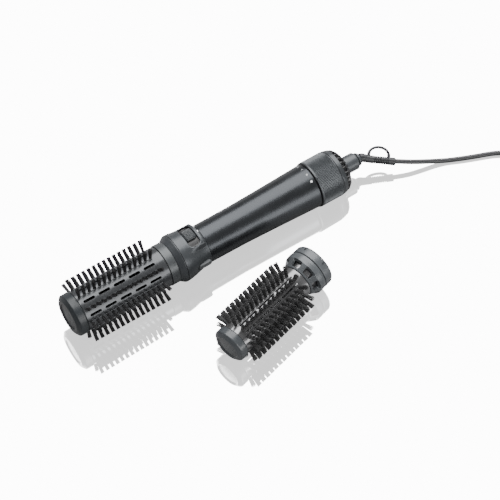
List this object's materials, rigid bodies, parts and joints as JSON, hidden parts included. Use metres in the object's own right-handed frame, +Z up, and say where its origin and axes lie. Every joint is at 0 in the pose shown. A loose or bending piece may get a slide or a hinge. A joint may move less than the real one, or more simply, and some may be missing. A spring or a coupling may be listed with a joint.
{
  "type": "hot air brush",
  "caption": "Rotating hot air styling brush with a slotted bristle head, a second smaller bristle head, a selector ring and a swivelling mains lead.",
  "frame": {"origin": "on the table under the middle of the brush and the small head", "axes": "+Z up; +X from the bristle end towards the lead, level, with the brush axis 2.06 degrees lower at the lead end; +Y from the small head towards the brush"},
  "size_m": [0.5646, 0.1612, 0.066],
  "materials": {
    "cap": "satin dark blue-grey",
    "barrel": "semi-gloss light grey, metallic pigment",
    "silver": "bright silver barrel",
    "base": "satin mid grey",
    "hub": "matt heat-resistant black",
    "bristle": "black nylon",
    "tuft": "soft black bristle",
    "gear": "natural acetal",
    "steel": "plated steel can",
    "black": "black satin trim",
    "housing": "satin anthracite, metallic pigment",
    "button": "satin mid grey",
    "board": "green circuit board",
    "handle": "satin anthracite, metallic pigment",
    "selector": "satin anthracite, fine knurl",
    "band": "satin anthracite",
    "screen": "dark fine mesh",
    "boss": "satin anthracite",
    "relief": "soft satin rubber",
    "lead": "satin PVC",
    "mica": "mica sheet",
    "wire": "resistance wire",
    "collar": "satin anthracite",
    "tie": "woven strap",
    "plug": "satin black plastic",
    "brass": "nickel-brass pins"
  },
  "bodies": {
    "handle": {"handle_tube": "handle", "switch_housing": "housing", "nose_ring": "black", "rotation_circuit_board": "board", "spin_motor": "steel", "shoulder_ring": "black", "rear_band": "band", "rear_grille": "black", "dust_screen": "screen", "lead_boss": "boss", "selector_switch": "board", "heater_frame": "mica", "heater_coil": "wire", "fan_motor": "steel", "fan_housing": "hub"},
    "brush_drive": {"drive_spigot": "hub", "drive_ring_gear": "gear"},
    "pinion": {"motor_pinion": "gear"},
    "brush_head": {"head_barrel": "barrel", "head_end_cap": "cap", "head_base_ring": "base", "head_hub": "hub", "bristle_strip_1": "bristle", "bristle_strip_2": "bristle", "bristle_strip_3": "bristle", "bristle_strip_4": "bristle", "bristle_strip_5": "bristle", "bristle_strip_6": "bristle", "bristle_strip_7": "bristle", "bristle_strip_8": "bristle", "bristle_strip_9": "bristle"},
    "rocker": {"rotation_rocker": "button"},
    "release": {"release_button": "button"},
    "selector": {"selector_ring": "selector"},
    "impeller": {"fan_impeller": "hub"},
    "lead_swivel": {"lead_swivel": "relief", "strain_relief": "relief", "hanging_loop": "relief", "mains_lead": "lead", "lead_coil": "lead", "coil_tie": "tie", "plug_body": "plug", "plug_pin_left": "brass", "plug_pin_right": "brass"},
    "small_head": {"small_barrel": "silver", "small_end_cap": "cap", "small_collar": "collar", "small_lock_ring": "collar", "small_bristle_strip_1": "tuft", "small_bristle_strip_2": "tuft", "small_bristle_strip_3": "tuft", "small_bristle_strip_4": "tuft", "small_bristle_strip_5": "tuft", "small_bristle_strip_6": "tuft", "small_bristle_strip_7": "tuft", "small_bristle_strip_8": "tuft", "small_bristle_strip_9": "tuft", "small_bristle_strip_10": "tuft", "small_bristle_strip_11": "tuft", "small_bristle_strip_12": "tuft"}
  },
  "joints": [
    {"name": "head_spin", "type": "hinge", "parent": "handle", "child": "brush_drive", "pos_m": [-0.11114, 0.0495, 0.0322], "axis": [0.9994, 0, -0.0359], "continuous": true},
    {"name": "head_release", "type": "slide", "parent": "brush_drive", "child": "brush_head", "axis": [-0.9994, 0, 0.0359], "range_m": [0, 0.105]},
    {"name": "pinion_spin", "type": "hinge", "parent": "handle", "child": "pinion", "pos_m": [-0.05423, 0.04142, 0.02872], "axis": [0.9994, 0, -0.0359], "continuous": true},
    {"name": "fan_spin", "type": "hinge", "parent": "handle", "child": "impeller", "pos_m": [0.07124, 0.0495, 0.02564], "axis": [0.9994, 0, -0.0359], "continuous": true},
    {"name": "rotation_rocker", "type": "hinge", "parent": "handle", "child": "rocker", "pos_m": [-0.04578, 0.0495, 0.02984], "axis": [0.9994, 0, -0.0359], "range_deg": [-9, 9], "stiffness_Nm_per_rad": 0.25},
    {"name": "release_button", "type": "slide", "parent": "handle", "child": "release", "axis": [-0.0038, 0.9945, -0.1045], "range_m": [0, 0.0015], "stiffness_N_per_m": 900},
    {"name": "selector_turn", "type": "hinge", "parent": "handle", "child": "selector", "pos_m": [0.10222, 0.0495, 0.02452], "axis": [-0.9994, 0, 0.0359], "range_deg": [0, 60]},
    {"name": "lead_swivel", "type": "hinge", "parent": "handle", "child": "lead_swivel", "pos_m": [0.1387, 0.0495, 0.02321], "axis": [0.9994, 0, -0.0359], "continuous": true},
    {"name": "small_head_lift", "type": "slide", "parent": "handle", "child": "small_head", "axis": [0, 0, 1], "range_m": [0, 0.12]}
  ],
  "couplings": [
    {"joint": "pinion_spin", "follows": "head_spin", "ratio": 3}
  ]
}
